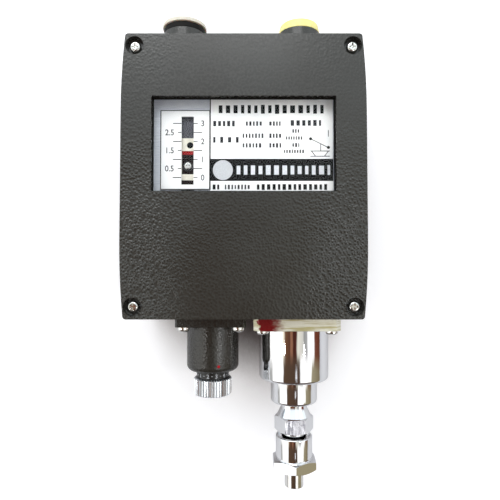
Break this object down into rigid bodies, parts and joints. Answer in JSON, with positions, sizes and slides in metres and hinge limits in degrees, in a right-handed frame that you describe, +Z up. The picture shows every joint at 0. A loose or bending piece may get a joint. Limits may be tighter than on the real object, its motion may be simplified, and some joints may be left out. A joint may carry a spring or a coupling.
{
  "type": "pressure switch",
  "caption": "Bellows pressure switch in a painted wall case with a windowed setting scale, differential knob, pipe union below and cable entries on top.",
  "frame": {"origin": "middle of the flat back mounting face of the case", "axes": "+Y into the wall, out of the back face; +Z up, from the pipe union to the cable entries; +X to the right when facing the cover"},
  "size_m": [0.118, 0.062, 0.2474],
  "materials": {
    "case_paint": "dark grey hammertone stove enamel",
    "seal_rubber": "matt black",
    "window_clear": "clear acrylic",
    "plate_sheet": "satin",
    "printed_plate": "white gloss print on thin sheet",
    "zinc_steel": "zinc plated",
    "bright_screws": "bright plated",
    "chrome_fittings": "polished nickel chrome",
    "pipe_steel": "turned steel",
    "brass_parts": "machined",
    "bellows_bronze": "drawn phosphor bronze",
    "copper_washer": "annealed copper",
    "zinc_casting": "dull die cast",
    "spring_wire": "oil hardened wire",
    "knob_metal": "bright knurled",
    "black_steel": "black oxide",
    "black_dial": "black with white numerals",
    "bakelite": "moulded dark brown",
    "plunger_red": "moulded red",
    "cream_plastic": "moulded cream",
    "yellow_plastic": "translucent pale yellow polythene",
    "wire_insulation": "soft vinyl"
  },
  "bodies": {
    "case": {"housing": "case_paint", "cover_gasket": "seal_rubber", "mechanism_bracket": "zinc_steel", "bracket_screws": "bright_screws", "plate_posts": "zinc_steel", "plate_bracket": "plate_sheet", "scale_plate": "printed_plate", "nameplate": "printed_plate", "plate_screws": "bright_screws", "lever_pivot_pin": "zinc_steel", "microswitch_case": "bakelite", "switch_terminals": "brass_parts", "switch_screws": "bright_screws", "terminal_standoffs": "zinc_steel", "terminal_block": "bakelite", "terminal_clamps": "brass_parts", "terminal_screws": "bright_screws", "internal_wires": "wire_insulation", "earth_screw": "brass_parts", "bellows_flange_gasket": "seal_rubber", "bellows_housing": "chrome_fittings", "bellows_flange_screws": "bright_screws", "push_rod_guide": "brass_parts", "hex_adaptor": "chrome_fittings", "differential_gasket": "seal_rubber", "differential_housing": "case_paint", "differential_flange_screws": "bright_screws", "differential_cap": "brass_parts"},
    "cover": {"cover": "case_paint", "window_gasket": "seal_rubber", "window_pane": "window_clear", "window_retainer": "plate_sheet", "window_retainer_screws": "bright_screws", "cover_screws": "bright_screws"},
    "range_spindle": {"range_spindle": "zinc_steel", "spindle_circlip": "zinc_steel"},
    "carriage": {"range_carriage": "zinc_casting", "range_pointer": "cream_plastic", "pointer_washer": "black_dial", "pointer_screw": "bright_screws", "main_spring": "spring_wire"},
    "lever": {"main_lever": "zinc_steel", "spring_anchor": "zinc_steel"},
    "push_rod": {"push_rod": "zinc_steel", "bellows_cap": "brass_parts", "bellows": "bellows_bronze"},
    "switch_plunger": {"switch_plunger": "plunger_red"},
    "differential_plunger": {"differential_plunger": "zinc_steel"},
    "differential_seat": {"differential_spring_seat": "brass_parts", "differential_spring": "spring_wire"},
    "differential_knob": {"differential_knob": "knob_metal", "differential_dial": "black_dial", "differential_spindle": "zinc_steel", "knob_set_screw": "black_steel"},
    "pipe_nipple": {"pipe_nipple": "pipe_steel", "union_washer": "copper_washer"},
    "union_nut": {"union_nut": "chrome_fittings"},
    "gland_seal": {"gland_seal": "seal_rubber"},
    "gland_nut": {"gland_nut": "cream_plastic"},
    "blanking_plug": {"blanking_plug": "yellow_plastic"}
  },
  "joints": [
    {"name": "cover_lift_off", "type": "slide", "parent": "case", "child": "cover", "axis": [0, -1, 0], "range_m": [0, 0.07]},
    {"name": "range_spindle_turn", "type": "hinge", "parent": "case", "child": "range_spindle", "pos_m": [-0.0279, -0.0444, 0.058], "axis": [0, 0, -1], "range_deg": [-4868, 4868]},
    {"name": "range_carriage_slide", "type": "slide", "parent": "case", "child": "carriage", "axis": [0, 0, 1], "range_m": [-0.0135, 0.0135], "deforming": ["main_spring"]},
    {"name": "lever_tilt", "type": "hinge", "parent": "case", "child": "lever", "pos_m": [0.002, -0.0375, -0.05], "axis": [0, -1, 0], "range_deg": [0, 2.4], "stiffness_Nm_per_rad": 4, "springref_deg": -2.86},
    {"name": "push_rod_slide", "type": "slide", "parent": "case", "child": "push_rod", "axis": [0, 0, 1], "range_m": [0, 0.00094], "deforming": ["bellows"]},
    {"name": "switch_plunger_press", "type": "slide", "parent": "case", "child": "switch_plunger", "axis": [0, 0, 1], "range_m": [0, 0.00184]},
    {"name": "differential_plunger_press", "type": "slide", "parent": "case", "child": "differential_plunger", "axis": [0, 0, -1], "range_m": [0, 0.0009]},
    {"name": "differential_knob_turn", "type": "hinge", "parent": "case", "child": "differential_knob", "pos_m": [-0.0169, -0.0315, -0.107], "axis": [0, 0, -1], "range_deg": [-90.2, 210.2]},
    {"name": "differential_seat_slide", "type": "slide", "parent": "case", "child": "differential_seat", "axis": [0, 0, 1], "range_m": [-0.00075, 0.00175], "deforming": ["differential_spring"]},
    {"name": "pipe_nipple_slide", "type": "slide", "parent": "case", "child": "pipe_nipple", "axis": [0, 0, -1], "range_m": [0, 0.00901]},
    {"name": "union_nut_turn", "type": "hinge", "parent": "pipe_nipple", "child": "union_nut", "pos_m": [0.0264, -0.0315, -0.14], "axis": [0, 0, -1], "range_deg": [0, 2160]},
    {"name": "gland_seal_slide", "type": "slide", "parent": "case", "child": "gland_seal", "axis": [0, 0, 1], "range_m": [0, 0.00751]},
    {"name": "gland_nut_turn", "type": "hinge", "parent": "gland_seal", "child": "gland_nut", "pos_m": [-0.0328, -0.0315, 0.085], "axis": [0, 0, 1], "range_deg": [0, 1800]},
    {"name": "blanking_plug_pull", "type": "slide", "parent": "case", "child": "blanking_plug", "axis": [0, 0, 1], "range_m": [0, 0.016]}
  ],
  "couplings": [
    {"joint": "range_spindle_turn", "follows": "range_carriage_slide", "rad_per_m": 6283.2},
    {"joint": "push_rod_slide", "follows": "lever_tilt", "m_per_rad": 0.0222},
    {"joint": "switch_plunger_press", "follows": "lever_tilt", "m_per_rad": 0.0435},
    {"joint": "differential_plunger_press", "follows": "lever_tilt", "m_per_rad": 0.0211},
    {"joint": "differential_knob_turn", "follows": "differential_seat_slide", "rad_per_m": 2094.4},
    {"joint": "pipe_nipple_slide", "follows": "union_nut_turn", "m_per_rad": 0.00023873},
    {"joint": "gland_seal_slide", "follows": "gland_nut_turn", "m_per_rad": 0.00023873}
  ]
}
